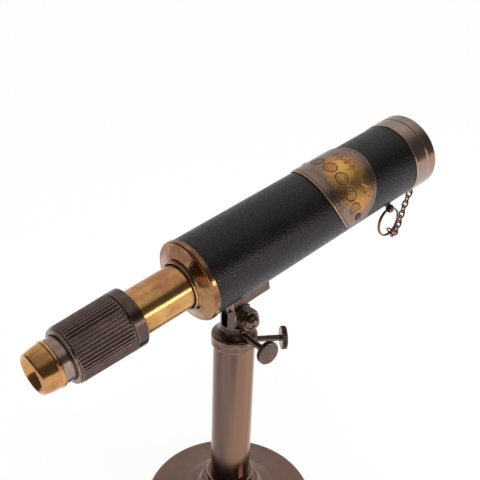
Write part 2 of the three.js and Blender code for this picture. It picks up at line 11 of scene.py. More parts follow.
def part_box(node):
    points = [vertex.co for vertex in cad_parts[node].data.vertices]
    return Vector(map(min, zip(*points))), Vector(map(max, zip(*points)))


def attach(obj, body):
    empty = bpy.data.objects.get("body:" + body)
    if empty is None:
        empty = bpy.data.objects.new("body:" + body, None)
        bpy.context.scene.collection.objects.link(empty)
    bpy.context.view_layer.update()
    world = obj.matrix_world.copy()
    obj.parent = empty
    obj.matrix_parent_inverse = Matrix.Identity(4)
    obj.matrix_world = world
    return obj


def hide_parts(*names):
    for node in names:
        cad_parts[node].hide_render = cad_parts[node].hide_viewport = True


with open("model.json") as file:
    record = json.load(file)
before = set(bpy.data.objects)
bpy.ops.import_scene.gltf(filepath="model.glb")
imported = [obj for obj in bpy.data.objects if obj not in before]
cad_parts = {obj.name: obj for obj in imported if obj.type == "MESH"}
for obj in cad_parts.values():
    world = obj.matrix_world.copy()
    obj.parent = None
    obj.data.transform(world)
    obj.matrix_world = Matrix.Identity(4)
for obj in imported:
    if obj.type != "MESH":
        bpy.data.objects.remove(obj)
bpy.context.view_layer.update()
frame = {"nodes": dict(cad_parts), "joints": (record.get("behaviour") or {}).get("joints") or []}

# ---- Places taken from the frame -------------------------------------------------------

MM = 0.001
JOINTS = {joint["name"]: joint for joint in frame["joints"]}
ALONG = Vector(JOINTS["focus_turn"]["axis"]).normalized()
AXIS_POINT = Vector(JOINTS["focus_turn"]["pos_m"])
PIVOT = Vector(JOINTS["tilt"]["pos_m"])
KEEPER_TOP = Vector(JOINTS["keeper_swing"]["pos_m"])
ACROSS = Vector((0, 1, 0))
ABOVE = ALONG.cross(ACROSS).normalized()
TILT = math.atan2(ALONG.z, ALONG.x)
AXIS_HEIGHT = AXIS_POINT.z / MM
PIVOT_HEIGHT = PIVOT.z / MM
PIVOT_DROP = AXIS_HEIGHT - PIVOT_HEIGHT


def axes_matrix(x_axis, y_axis, z_axis, origin):
    """Millimetres in a piece's own axes to metres in the row's frame."""
    turn = Matrix((x_axis, y_axis, z_axis)).transposed().to_4x4()
    return Matrix.Translation(origin) @ turn @ Matrix.Scale(MM, 4)


# In each of these the first axis is the one that a turned piece is turned about.
TUBE = axes_matrix(ALONG, ACROSS, ABOVE, AXIS_POINT)
COLUMN = axes_matrix(Vector((0, 0, 1)), Vector((1, 0, 0)), Vector((0, 1, 0)), Vector((0, 0, 0)))
CROSSWISE = axes_matrix(ACROSS, Vector((0, 0, 1)), Vector((1, 0, 0)), PIVOT)
UPRIGHT = Matrix.Scale(MM, 4)


def sideways(joint_name):
    """The axes of a screw that turns about its joint's axis, measured from that joint's place."""
    joint = JOINTS[joint_name]
    outward = Vector(joint["axis"]).normalized()
    upward = Vector((0, 0, 1))
    return axes_matrix(outward, upward.cross(outward), upward, Vector(joint["pos_m"]))


def on_tube(angle, along):
    """The axes of a piece that stands out of the barrel, at an angle from the top towards -Y."""
    outward = ABOVE * math.cos(angle) - ACROSS * math.sin(angle)
    return axes_matrix(outward, ALONG, outward.cross(ALONG), AXIS_POINT + ALONG * along * MM)


# ---- Sizes in millimetres, as in the CAD model -----------------------------------------

LEATHER_R, LEATHER_FROM, LEATHER_TO = 26.0, -36.7, 143.4
BAND_R, BAND_FROM, BAND_TO = 26.6, 143.7, 155.0
SPIGOT_R, SPIGOT_TO = 24.9, 161.0
CAP_FROM, CAP_TO = 155.3, 164.5
FLANGE_R = 26.7
DRAW_R, DRAW_FROM, DRAW_TO = 14.5, -116.0, -1.0
GRIP_FROM, GRIP_TO = -128.4, -82.3
GRIP_BAND_R, GRIP_BAND_WIDTH, GRIP_REAR_R, GRIP_FRONT_R = 18.5, 8.0, 17.6, 18.3
# The last of these sets how dark the grip's smooth front band is made, as a share of the way down a flute
# valley.
FLUTES, FLUTE_DEPTH, BAND_DARKENING = 48, 0.62, 0.45
FLUTED_R, FLUTE_FADE = 16.9, 0.8
FLUTES_FROM, FLUTES_TO = GRIP_FROM + 2.1, GRIP_TO - GRIP_BAND_WIDTH - 1.0
NECK_TO = -134.4
HEAD_R, HEAD_FOOT_DROP, NECK_FOOT_DROP = 15.35, 67.3, 61.5
SHAFT_R, THREAD_PITCH, KNOB_R = 2.1, 0.8, 7.8
FORK_R, CHEEK_Y, SLOT_HALF = 9.5, 7.1, 2.9
SADDLE_FROM, SADDLE_TO, SADDLE_HALF, SADDLE_BOTTOM = -16.0, 15.5, 9.5, -33.7
PLATE_AT, PLATE_ANGLE, PLATE_HALF_SPAN = 82.8, math.radians(24), math.radians(95)
PLATE_HALF_WIDTH, PLATE_R, PLATE_T = 23.2, 26.3, 0.7
PLATE_SCREWS = [math.radians(102), math.radians(-54)]
KEEPER_R, KEEPER_STRAND_R, KEEPER_ASIDE = 10.2, 0.53, 0.52
STUD_ANGLE, STUD_AT, STUD_REACH, STUD_LEAN = math.radians(140), 123.5, 29.4, math.radians(8.4)
LUG_ANGLE, LUG_AT, LUG_REACH, LUG_EYE_R, LUG_WIRE_R = math.radians(160), 157.4, 29.3, 1.7, 0.48
LINK_WIRE_R, LINK_BEND_R, LINK_STRAIGHT, LAST_LINK_R = 0.6, 1.85, 1.9, 3.2
FINE, MEDIUM, WIRE_SIDES = 144, 72, 12

# ---- Camera, floor and light -----------------------------------------------------------

CAMERA_AZIMUTH, CAMERA_ELEVATION, CAMERA_ROLL = -42.62, 27.74, 2.01
CAMERA_FROM_AXIS = Vector((-0.30987, -0.33895, 0.24976))
LENS_MM = 63.0
SENSOR_MM = 36.0
PAPER_GREY, PAPER_GLOW = 0.55, 0.78
SWEEP_DIRECTION = (0.66, 0.71, 0.26)
SWEEP_LEVEL, CEILING_LEVEL, ROOM_LEVEL = 0.60, 0.34, 0.09


def make_camera():
    data = bpy.data.cameras.new("camera")
    data.lens = LENS_MM
    data.sensor_width = SENSOR_MM
    camera = bpy.data.objects.new("camera", data)
    azimuth = math.radians(CAMERA_AZIMUTH)
    elevation = math.radians(CAMERA_ELEVATION)
    back = Vector((math.sin(azimuth) * math.cos(elevation),
                   -math.cos(azimuth) * math.cos(elevation), math.sin(elevation)))
    right = Vector((0, 0, 1)).cross(back).normalized()
    up = back.cross(right)
    look = Matrix((right, up, back)).transposed() @ Matrix.Rotation(math.radians(CAMERA_ROLL), 3, "Z")
    camera.matrix_world = Matrix.Translation(AXIS_POINT + CAMERA_FROM_AXIS) @ look.to_4x4()
    bpy.context.scene.collection.objects.link(camera)
    bpy.context.scene.camera = camera


class Shader:
    """A short way to write a node tree: each call adds a node and links or sets its inputs."""

    def __init__(self, tree):
        self.tree = tree
        tree.nodes.clear()

    def add(self, kind, inputs=None, **settings):
        node = self.tree.nodes.new(kind)
        for name, value in settings.items():
            setattr(node, name, value)
        for key, value in (inputs or {}).items():
            socket = node.inputs[key]
            if isinstance(value, bpy.types.NodeSocket):
                self.tree.links.new(value, socket)
            else:
                socket.default_value = value
        return node

    def math(self, operation, first, second=0.0, clamp=False):
        node = self.add("ShaderNodeMath", {0: first, 1: second}, operation=operation, use_clamp=clamp)
        return node.outputs[0]

    def mix(self, factor, first, second):
        node = self.add("ShaderNodeMix", {0: factor, 6: first, 7: second}, data_type="RGBA")
        return node.outputs[2]

    def noise(self, where, scale, detail=3.0, roughness=0.55):
        node = self.add("ShaderNodeTexNoise", {"Vector": where, "Scale": scale, "Detail": detail,
                                               "Roughness": roughness})
        return node.outputs["Fac"]

    def ramp(self, factor, low, high):
        """A smooth step from 0 at low to 1 at high."""
        node = self.add("ShaderNodeMapRange", {"Value": factor, "From Min": low, "From Max": high},
                        interpolation_type="SMOOTHSTEP")
        return node.outputs[0]


def make_floor():
    bpy.ops.mesh.primitive_plane_add(size=12, location=(0, 0, -0.0002))
    floor = bpy.context.object
    floor.name = "floor"
    material = bpy.data.materials.new("floor_paper")
    material.use_nodes = True
    shader = Shader(material.node_tree)
    paper = shader.add("ShaderNodeBsdfPrincipled", {
        "Base Color": (PAPER_GREY, PAPER_GREY, PAPER_GREY, 1), "Roughness": 0.9, "Specular IOR Level": 0.0,
        "Emission Color": (1, 1, 1, 1), "Emission Strength": PAPER_GLOW})
    shader.add("ShaderNodeOutputMaterial", {"Surface": paper.outputs[0]})
    floor.data.materials.append(material)


def make_world():
    """A dark room with a pale ceiling and a white sweep behind the table."""
    world = bpy.data.worlds.new("studio")
    bpy.context.scene.world = world
    world.use_nodes = True
    shader = Shader(world.node_tree)
    direction = shader.add("ShaderNodeTexCoord").outputs["Generated"]
    height = shader.add("ShaderNodeSeparateXYZ", {0: direction}).outputs["Z"]
    sweep = shader.add("ShaderNodeVectorMath", {0: direction, 1: SWEEP_DIRECTION},
                       operation="DOT_PRODUCT")
    behind = shader.math("MULTIPLY", shader.ramp(sweep.outputs["Value"], 0.26, 0.87), SWEEP_LEVEL)
    top = shader.math("MULTIPLY", shader.ramp(height, 0.70, 0.90), CEILING_LEVEL)
    level = shader.math("ADD", shader.math("ADD", behind, top), ROOM_LEVEL)
    studio = shader.add("ShaderNodeBackground", {"Color": (1, 1, 1, 1), "Strength": level})
    plain = shader.add("ShaderNodeBackground", {"Color": (1, 1, 1, 1), "Strength": 1.0})
    seen = shader.add("ShaderNodeLightPath").outputs["Is Camera Ray"]
    both = shader.add("ShaderNodeMixShader", {0: seen, 1: studio.outputs[0], 2: plain.outputs[0]})
    shader.add("ShaderNodeOutputWorld", {"Surface": both.outputs[0]})


def make_light(name, place, size, power):
    """A rectangular light turned towards the middle of the tube."""
    data = bpy.data.lights.new(name, "AREA")
    data.shape = "RECTANGLE"
    data.size, data.size_y = size
    data.energy = power
    light = bpy.data.objects.new(name, data)
    light.location = place
    light.rotation_euler = (AXIS_POINT - Vector(place)).to_track_quat("-Z", "Y").to_euler()
    bpy.context.scene.collection.objects.link(light)


def make_lights():
    make_light("side_softbox", (0.47, -1.15, 0.35), (0.50, 0.24), 1.6)
    make_light("top_softbox", (0.30, -0.50, 1.45), (0.9, 0.9), 0.55)
    bpy.context.scene.view_settings.view_transform = "Standard"


# ---- Materials -------------------------------------------------------------------------

MATERIALS = {}
MARK_PITCH = 0.35
# Dark colour that the valley mark mixes in: painted shade down flute and knurl valleys, and a darker tone
# on the grip's front band.
VALLEY_SHADE_AND_BAND_TONE = (0.018, 0.013, 0.011, 1)


def material(name, slot):
    """Makes a material with the decorated function, and remembers the record slot it stands for."""
    def wrap(build):
        made = bpy.data.materials.new(name)
        made.use_nodes = True
        shader = Shader(made.node_tree)
        where = shader.add("ShaderNodeTexCoord").outputs["Object"]
        surface = build(shader, where)
        shader.add("ShaderNodeOutputMaterial", {"Surface": surface.outputs[0]})
        MATERIALS[name] = (made, slot)
        return build
    return wrap


def turning_marks(shader, where, axis):
    """Fine rings round an axis, from noise that changes only along it."""
    along = shader.add("ShaderNodeVectorMath", {0: where, 1: axis}, operation="DOT_PRODUCT")
    place = shader.add("ShaderNodeCombineXYZ", {"X": along.outputs["Value"]})
    return shader.noise(place.outputs[0], 1 / (MARK_PITCH * MM), detail=2.0)


def metal(shader, where, tones, edge, gloss, axis, marks=0.25, patch=14.0, stretch=1.0, detail=4.0):
    """Antiqued metal: three tones in soft patches, brighter edges from wear and a painted highlight,
    painted shade down the valleys, turning marks and smudges.

    gloss holds the lowest and highest roughness. The turning marks run round axis and are as strong
    as marks. patch is the patches' size in millimetres, stretch how much taller they are than wide.
    """
    base, warm, dark = tones
    spots = shader.add("ShaderNodeMapping", {"Vector": where, "Scale": (1, 1, 1 / stretch)}).outputs[0]
    patches = shader.noise(spots, 1 / (patch * MM), detail=detail, roughness=0.62)
    clouds = shader.noise(spots, 2.7 / (patch * MM), detail=detail, roughness=0.7)
    colour = shader.mix(shader.ramp(patches, 0.36, 0.66), base, warm)
    colour = shader.mix(shader.math("MULTIPLY", shader.ramp(clouds, 0.48, 0.80), 0.6), colour, dark)
    # Rounded edges go towards the edge colour in patches: bright bare metal from wear, and a painted
    # highlight.
    wear_and_glint = shader.add("ShaderNodeAttribute", attribute_name="edge").outputs["Fac"]
    wear_and_glint_patches = shader.math("MULTIPLY", wear_and_glint, shader.ramp(clouds, 0.30, 0.62), clamp=True)
    colour = shader.mix(wear_and_glint_patches, colour, edge)
    # The valley mark darkens the colour: painted shade down flute and knurl valleys, and a darker tone on
    # the grip's front band.
    valley = shader.add("ShaderNodeAttribute", attribute_name="valley").outputs["Fac"]
    colour = shader.mix(shader.math("MULTIPLY", valley, 0.9, clamp=True), colour, VALLEY_SHADE_AND_BAND_TONE)
    rings = turning_marks(shader, where, axis)
    specks = shader.noise(where, 1 / (MARK_PITCH * MM), detail=3.0)
    low, high = gloss
    spread = shader.add("ShaderNodeMapRange", {"Value": clouds, "From Min": 0.3, "From Max": 0.7,
                                               "To Min": low, "To Max": high}).outputs[0]
    rough = shader.math("ADD", spread, shader.math("MULTIPLY", rings, 0.08))
    height = shader.math("ADD", rings, shader.math("MULTIPLY", specks, 0.6))
    bump = shader.add("ShaderNodeBump", {"Height": height, "Strength": marks, "Distance": 0.02 * MM})
    return shader.add("ShaderNodeBsdfPrincipled", {
        "Base Color": colour, "Metallic": 1.0, "Roughness": rough, "Normal": bump.outputs[0]})


TUBE_AXIS = tuple(ALONG)
UP_AXIS = (0, 0, 1)
BRASS = ((0.67, 0.385, 0.130, 1), (0.52, 0.230, 0.100, 1), (0.30, 0.130, 0.065, 1))
BRONZE = ((0.130, 0.095, 0.088, 1), (0.190, 0.125, 0.098, 1), (0.050, 0.036, 0.034, 1))
BAND = ((0.36, 0.275, 0.250, 1), (0.38, 0.240, 0.180, 1), (0.15, 0.100, 0.085, 1))
COPPER = ((0.175, 0.112, 0.092, 1), (0.34, 0.185, 0.115, 1), (0.075, 0.048, 0.040, 1))
GRIP = ((0.165, 0.112, 0.100, 1), (0.21, 0.14, 0.115, 1), (0.070, 0.048, 0.042, 1))
# Colours for rounded edges: bright bare metal from wear, and a painted highlight along the edges.
BRIGHT_EDGE = (0.80, 0.55, 0.30, 1)
COPPER_EDGE = (0.60, 0.38, 0.26, 1)


@material("polished_brass", "polished_brass")
def polished_brass(shader, where):
    return metal(shader, where, BRASS, BRIGHT_EDGE, (0.10, 0.18), TUBE_AXIS, marks=0.22, patch=22.0)


# A darker copy of polished brass for the draw flange: partly its own tarnished tone, partly painted shade
# for the concave face that reflects dark surroundings.
@material("tarnish_and_shade_brass", "polished_brass")
def tarnish_and_shade_brass(shader, where):
    tones = ((0.40, 0.215, 0.090, 1), (0.23, 0.095, 0.055, 1), (0.09, 0.045, 0.036, 1))
    return metal(shader, where, tones, BRIGHT_EDGE, (0.09, 0.17), TUBE_AXIS, marks=0.2, patch=13.0)


@material("dark_bronze", "dark_bronze")
def dark_bronze(shader, where):
    return metal(shader, where, BRONZE, COPPER_EDGE, (0.14, 0.28), UP_AXIS, marks=0.30, patch=12.0)


@material("band_bronze", "dark_bronze")
def band_bronze(shader, where):
    return metal(shader, where, BAND, BRIGHT_EDGE, (0.14, 0.24), TUBE_AXIS, marks=0.25, patch=28.0)


@material("copper_bronze", "copper_bronze")
def copper_bronze(shader, where):
    # The patches are stretched thirty times taller than wide into vertical streaks: painted reflection
    # stripes on the column and lift post.
    return metal(shader, where, COPPER, COPPER_EDGE, (0.09, 0.17), UP_AXIS, marks=0.12, patch=17.0,
                 stretch=30.0, detail=0.0)


@material("foot_bronze", "copper_bronze")
def foot_bronze(shader, where):
    tones = ((0.190, 0.120, 0.096, 1), (0.230, 0.138, 0.104, 1), (0.145, 0.092, 0.075, 1))
    return metal(shader, where, tones, COPPER_EDGE, (0.12, 0.20), UP_AXIS, marks=0.12, patch=40.0)


@material("grip_bronze", "grip_bronze")
def grip_bronze(shader, where):
    return metal(shader, where, GRIP, (0.46, 0.34, 0.27, 1), (0.15, 0.28), TUBE_AXIS, marks=0.4, patch=8.0)


@material("nut_bronze", "copper_bronze")
def nut_bronze(shader, where):
    """Dark flats and a coppery dome: the tone changes past the end of the hexagon."""
    across = shader.add("ShaderNodeSeparateXYZ", {0: where}).outputs["Y"]
    bare = metal(shader, where, BRONZE, COPPER_EDGE, (0.24, 0.38), (0, 1, 0), patch=6.0)
    copper = metal(shader, where, COPPER, COPPER_EDGE, (0.16, 0.28), (0, 1, 0), patch=7.0)
    on_dome = shader.ramp(across, -15.2 * MM, -15.9 * MM)
    return shader.add("ShaderNodeMixShader", {0: on_dome, 1: bare.outputs[0], 2: copper.outputs[0]})


@material("chain_copper", "copper_bronze")
def chain_copper(shader, where):
    tones = ((0.23, 0.135, 0.10, 1), (0.33, 0.17, 0.11, 1), (0.075, 0.05, 0.042, 1))
    return metal(shader, where, tones, COPPER_EDGE, (0.22, 0.36), UP_AXIS, patch=2.5, marks=0.3)


@material("black_leather", "black_leather")
def black_leather(shader, where):
    """Fine pebbled grain with creases, half gloss on the pebbles and dull between them."""
    warp = shader.noise(where, 1 / (2.6 * MM), detail=3.0)
    shifted = shader.add("ShaderNodeVectorMath", {0: where, 1: (0, 0, 0)}, operation="ADD")
    push = shader.math("MULTIPLY", warp, 0.9 * MM)
    shader.tree.links.new(push, shifted.inputs[1])
    pebble = shader.add("ShaderNodeTexVoronoi", {"Vector": shifted.outputs[0], "Scale": 1 / (1.3 * MM),
                                                 "Smoothness": 0.35}, feature="SMOOTH_F1")
    crease = shader.ramp(pebble.outputs["Distance"], 0.18, 0.62)
    fine = shader.noise(where, 1 / (0.28 * MM), detail=3.0)
    broad = shader.noise(where, 1 / (21 * MM), detail=3.0)
    height = shader.math("SUBTRACT", shader.math("MULTIPLY", fine, 0.30), crease)
    bump = shader.add("ShaderNodeBump", {"Height": height, "Strength": 0.45, "Distance": 0.16 * MM})
    # Creases are painted darker than the pebbles: painted shade in the grain.
    colour = shader.mix(crease, (0.0050, 0.0040, 0.0044, 1), (0.002, 0.0017, 0.0018, 1))
    colour = shader.mix(shader.math("MULTIPLY", shader.ramp(broad, 0.45, 0.7), 0.5), colour,
                        (0.014, 0.0105, 0.0110, 1))
    rough = shader.math("ADD", shader.math("MULTIPLY", crease, 0.30), 0.13)
    rough = shader.math("ADD", rough, shader.math("MULTIPLY", broad, 0.10))
    return shader.add("ShaderNodeBsdfPrincipled", {
        "Base Color": colour, "Roughness": rough, "Specular IOR Level": 0.45,
        "Specular Tint": (1.0, 0.87, 0.90, 1), "Normal": bump.outputs[0]})


@material("aged_plate", "aged_brass")
def aged_plate(shader, where):
    """Golden where handling has polished it, grey brown towards the edges, dark in the engraving, brighter
    along the border from wear and a painted highlight.
    """
    patina = shader.add("ShaderNodeAttribute", attribute_name="patina").outputs["Fac"]
    engraved = shader.add("ShaderNodeAttribute", attribute_name="engraved").outputs["Fac"]
    wear_and_glint = shader.add("ShaderNodeAttribute", attribute_name="edge").outputs["Fac"]
    clouds = shader.noise(where, 1 / (7.5 * MM), detail=5.0, roughness=0.65)
    specks = shader.noise(where, 1 / (0.5 * MM), detail=4.0)
    age = shader.math("ADD", patina, shader.math("MULTIPLY", shader.math("SUBTRACT", clouds, 0.5), 0.9))
    colour = shader.mix(shader.ramp(age, 0.12, 0.52), (0.80, 0.45, 0.13, 1), (0.56, 0.26, 0.09, 1))
    colour = shader.mix(shader.ramp(age, 0.45, 0.85), colour, (0.27, 0.180, 0.140, 1))
    # The border goes brighter: wear and a painted highlight along the rim.
    colour = shader.mix(wear_and_glint, colour, (0.58, 0.42, 0.22, 1))
    colour = shader.mix(shader.math("MULTIPLY", engraved, 0.88), colour, (0.060, 0.038, 0.020, 1))
    rough = shader.math("ADD", shader.math("MULTIPLY", specks, 0.16), 0.20)
    rough = shader.math("ADD", rough, shader.math("MULTIPLY", engraved, 0.25))
    bump = shader.add("ShaderNodeBump", {"Height": specks, "Strength": 0.25, "Distance": 0.02 * MM})
    return shader.add("ShaderNodeBsdfPrincipled", {
        "Base Color": colour, "Metallic": 1.0, "Roughness": rough, "Normal": bump.outputs[0]})


@material("green_felt", "green_felt")
def green_felt(shader, where):
    fibres = shader.noise(where, 1 / (0.6 * MM), detail=6.0, roughness=0.8)
    colour = shader.mix(shader.ramp(fibres, 0.35, 0.65), (0.012, 0.040, 0.022, 1),
                        (0.035, 0.085, 0.050, 1))
    bump = shader.add("ShaderNodeBump", {"Height": fibres, "Strength": 0.8, "Distance": 0.2 * MM})
    return shader.add("ShaderNodeBsdfPrincipled", {
        "Base Color": colour, "Roughness": 0.95, "Sheen Weight": 0.4, "Normal": bump.outputs[0]})


@material("lens_glass", "lens_glass")
def lens_glass(shader, where):
    smears = shader.noise(where, 1 / (6 * MM), detail=3.0)
    rough = shader.math("MULTIPLY", smears, 0.03)
    return shader.add("ShaderNodeBsdfPrincipled", {
        "Base Color": (0.96, 0.985, 0.98, 1), "Roughness": rough, "Transmission Weight": 1.0, "IOR": 1.5})


@material("mirror_glass", "mirror_glass")
def mirror_glass(shader, where):
    dust = shader.noise(where, 1 / (3 * MM), detail=4.0)
    rough = shader.math("MULTIPLY", shader.ramp(dust, 0.5, 0.8), 0.06)
    colour = shader.mix(shader.ramp(dust, 0.4, 0.8), (0.90, 0.93, 0.93, 1), (0.80, 0.83, 0.83, 1))
    return shader.add("ShaderNodeBsdfPrincipled", {
        "Base Color": colour, "Metallic": 1.0, "Roughness": rough})


# ---- Mesh helpers ----------------------------------------------------------------------

def finish_piece(name, mesh, body, material_name, replaced, weighted=True):
    """Links a mesh that is already in the row's frame, gives it its material, hangs it on its body and
    hides the CAD nodes it replaces.
    """
    piece = bpy.data.objects.new(name, mesh)
    bpy.context.scene.collection.objects.link(piece)
    made, slot = MATERIALS[material_name]
    mesh.materials.clear()
    mesh.materials.append(made)
    mesh.shade_smooth()
    if weighted:
        normals = piece.modifiers.new("normals", "WEIGHTED_NORMAL")
        normals.keep_sharp = True
        normals.weight = 100
    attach(piece, body)
    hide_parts(*replaced)
    return piece


def mesh_from(name, points, faces, axes, layers=None):
    mesh = bpy.data.meshes.new(name)
    mesh.from_pydata([axes @ Vector(p) for p in points], [], faces)
    for layer, values in (layers or {}).items():
        attribute = mesh.attributes.new(layer, "FLOAT", "POINT")
        attribute.data.foreach_set("value", np.asarray(values, np.float32))
    mesh.validate()
    mesh.update()
    return mesh


def rounded(outline, radius, closed):
    """Rounds an outline's corners. Returns points and, for each, 1 on an outer corner or else 0.

    An outline point is (radius, place), or (radius, place, its own corner radius).
    """
    count = len(outline)
    points, edge = [], []
    for i, corner in enumerate(outline):
        here = Vector(corner[:2])
        want = corner[2] if len(corner) > 2 else radius
        if not closed and i in (0, count - 1):
            points.append(here)
            edge.append(0.0)
            continue
        back = Vector(outline[i - 1][:2]) - here
        ahead = Vector(outline[(i + 1) % count][:2]) - here
        opening = back.angle(ahead)
        reach = want / math.tan(opening / 2)
        room = 0.42 * min(back.length, ahead.length)
        if reach > room:
            reach = room
        if math.pi - opening < 0.12 or want == 0:
            points.append(here)
            edge.append(0.0)
            continue
        start = here + back.normalized() * reach
        stop = here + ahead.normalized() * reach
        outer = back.x * ahead.y - back.y * ahead.x < 0
        support = min(0.35, 0.25 * room)
        points.append(start + back.normalized() * support)
        edge.append(0.0)
        for step in range(5):
            t = step / 4
            points.append(start * (1 - t) ** 2 + here * 2 * t * (1 - t) + stop * t ** 2)
            edge.append(1.0 if outer else 0.0)
        points.append(stop + ahead.normalized() * support)
        edge.append(0.0)
    return points, edge


def turned_mesh(name, outline, axes, segments=FINE, radius=0.35, shape=None, dark_from=math.inf):
    """Turns an outline about the first axis. shape(angle, place, radius) may change the radius.

    Beyond dark_from the metal is made as dark as a fixed share of the way down a flute's valley, where the
    darkening is painted shade.
    """
    closed = outline[0][0] > 0
    points, edge = rounded(outline, radius, closed)
    verts, faces, edges, valleys = [], [], [], []
    rows = []
    # Rounded outer corners carry the edge mark, which brightens them for wear and as a painted highlight.
    for (r, place), wear_and_glint in zip(points, edge):
        if r < 1e-6:
            rows.append([len(verts)] * segments)
            verts.append((place, 0, 0))
            edges.append(wear_and_glint)
            valleys.append(0.0)
            continue
        rows.append(list(range(len(verts), len(verts) + segments)))
        for k in range(segments):
            angle = 2 * math.pi * k / segments
            wide = shape(angle, place, r) if shape else r
            verts.append((place, -wide * math.sin(angle), wide * math.cos(angle)))
            edges.append(wear_and_glint)
            # The valley mark is painted shade by how far the point lies below the outline; beyond dark_from
            # it is the band's fixed darker tone.
            valleys.append(BAND_DARKENING if place > dark_from else min(1.0, (r - wide) / FLUTE_DEPTH))
    pairs = list(zip(rows, rows[1:]))
    if closed:
        pairs.append((rows[-1], rows[0]))
    for low, high in pairs:
        for k in range(segments):
            nxt = (k + 1) % segments
            face = [low[k], low[nxt], high[nxt], high[k]]
            face = [v for i, v in enumerate(face) if v != face[i - 1]]
            if len(face) > 2:
                faces.append(face)
    mesh = mesh_from(name, verts, faces, axes, {"edge": edges, "valley": valleys})
    fix_normals(mesh)
    return mesh


def fix_normals(mesh):
    bm = bmesh.new()
    bm.from_mesh(mesh)
    bmesh.ops.recalc_face_normals(bm, faces=bm.faces)
    bm.to_mesh(mesh)
    bm.free()


def turned(name, outline, axes, body, material_name, replaced=None, **options):
    mesh = turned_mesh(name, outline, axes, **options)
    return finish_piece(name, mesh, body, material_name, replaced or [name.replace("fine_", "")])


def ring(inner, outer, start, stop):
    return [(inner, start), (outer, start), (outer, stop), (inner, stop)]


def arc(r_at, place_at, radius, start, stop, steps=8):
    """Outline points along an arc, not rounded again; angles in degrees."""
    turns = [math.radians(start + (stop - start) * i / steps) for i in range(steps + 1)]
    return [(r_at + radius * math.cos(a), place_at + radius * math.sin(a), 0) for a in turns]


def prism_mesh(name, outline, start, stop, axes):
    """A flat outline in the second and third axes, extruded along the first."""
    count = len(outline)
    points = [(start, y, z) for y, z in outline] + [(stop, y, z) for y, z in outline]
    faces = [list(range(count)), list(range(count, 2 * count))]
    faces += [[i, (i + 1) % count, (i + 1) % count + count, i + count] for i in range(count)]
    mesh = mesh_from(name, points, faces, axes)
    fix_normals(mesh)
    return mesh


def box_mesh(name, low, high, axes):
    (x0, y0, z0), (x1, y1, z1) = low, high
    return prism_mesh(name, [(y0, z0), (y1, z0), (y1, z1), (y0, z1)], x0, x1, axes)


def combine(mesh, steps):
    """Cuts, joins or intersects a mesh with others: steps is a list of (operation, mesh)."""
    holder = bpy.data.objects.new("work", mesh)
    bpy.context.scene.collection.objects.link(holder)
    tools = []
    for operation, other in steps:
        tool = bpy.data.objects.new("tool", other)
        bpy.context.scene.collection.objects.link(tool)
        modifier = holder.modifiers.new("cut", "BOOLEAN")
        modifier.operation = operation
        modifier.solver = "EXACT"
        modifier.object = tool
        tools.append(tool)
    bpy.context.view_layer.update()
    result = bpy.data.meshes.new_from_object(holder.evaluated_get(bpy.context.evaluated_depsgraph_get()))
    for used in [holder] + tools:
        bpy.data.objects.remove(used)
    return result


def machined(name, mesh, body, material_name, replaced, bevel=0.25):
    """A cut piece with its sharp edges broken. Only the faces that the bevel makes get the edge mark, which
    brightens them for wear and as a painted highlight.
    """
    bm = bmesh.new()
    bm.from_mesh(mesh)
    stale = bm.verts.layers.float.get("edge")
    if stale:
        bm.verts.layers.float.remove(stale)
    broken = bm.faces.layers.float.new("edge")
    bmesh.ops.remove_doubles(bm, verts=bm.verts, dist=0.004 * MM)
    bmesh.ops.dissolve_limit(bm, angle_limit=math.radians(0.8), verts=bm.verts, edges=bm.edges)
    sharp = [e for e in bm.edges if len(e.link_faces) == 2 and e.calc_face_angle() > math.radians(28)]
    made = bmesh.ops.bevel(bm, geom=sharp, offset=bevel * MM, segments=3, profile=0.5, affect="EDGES",
                           clamp_overlap=True)
    for face in made["faces"]:
        face[broken] = 1.0
    bm.to_mesh(mesh)
    bm.free()
    return finish_piece(name, mesh, body, material_name, replaced)


def swept_mesh(name, path, radius, closed=True, axes=UPRIGHT):
    """A round wire along a list of points."""
    count, sides = len(path), WIRE_SIDES
    path = [Vector(p) for p in path]
    verts, faces = [], []
    normal = None
    for i, here in enumerate(path):
        ahead = path[(i + 1) % count] if closed or i < count - 1 else here
        back = path[i - 1] if closed or i else here
        tangent = (ahead - back).normalized()
        if normal is None:
            normal = tangent.orthogonal().normalized()
        normal = (normal - tangent * normal.dot(tangent)).normalized()
        side = tangent.cross(normal)
        for k in range(sides):
            angle = 2 * math.pi * k / sides
            verts.append(here + radius * (normal * math.cos(angle) + side * math.sin(angle)))
    twist = 0
    if closed:
        first, last = verts[0] - path[0], [verts[(count - 1) * sides + k] - path[-1] for k in range(sides)]
        twist = max(range(sides), key=lambda k: first.dot(last[k]))
    for i in range(count if closed else count - 1):
        j = (i + 1) % count
        turn = twist if j == 0 else 0
        for k in range(sides):
            a, b = i * sides + (k + turn) % sides, i * sides + (k + 1 + turn) % sides
            faces.append([a, b, j * sides + (k + 1) % sides, j * sides + k])
    if not closed:
        faces += [list(range(sides)), [(count - 1) * sides + k for k in range(sides)]]
    mesh = mesh_from(name, verts, faces, axes)
    fix_normals(mesh)
    return mesh


# ---- Foot and column -------------------------------------------------------------------

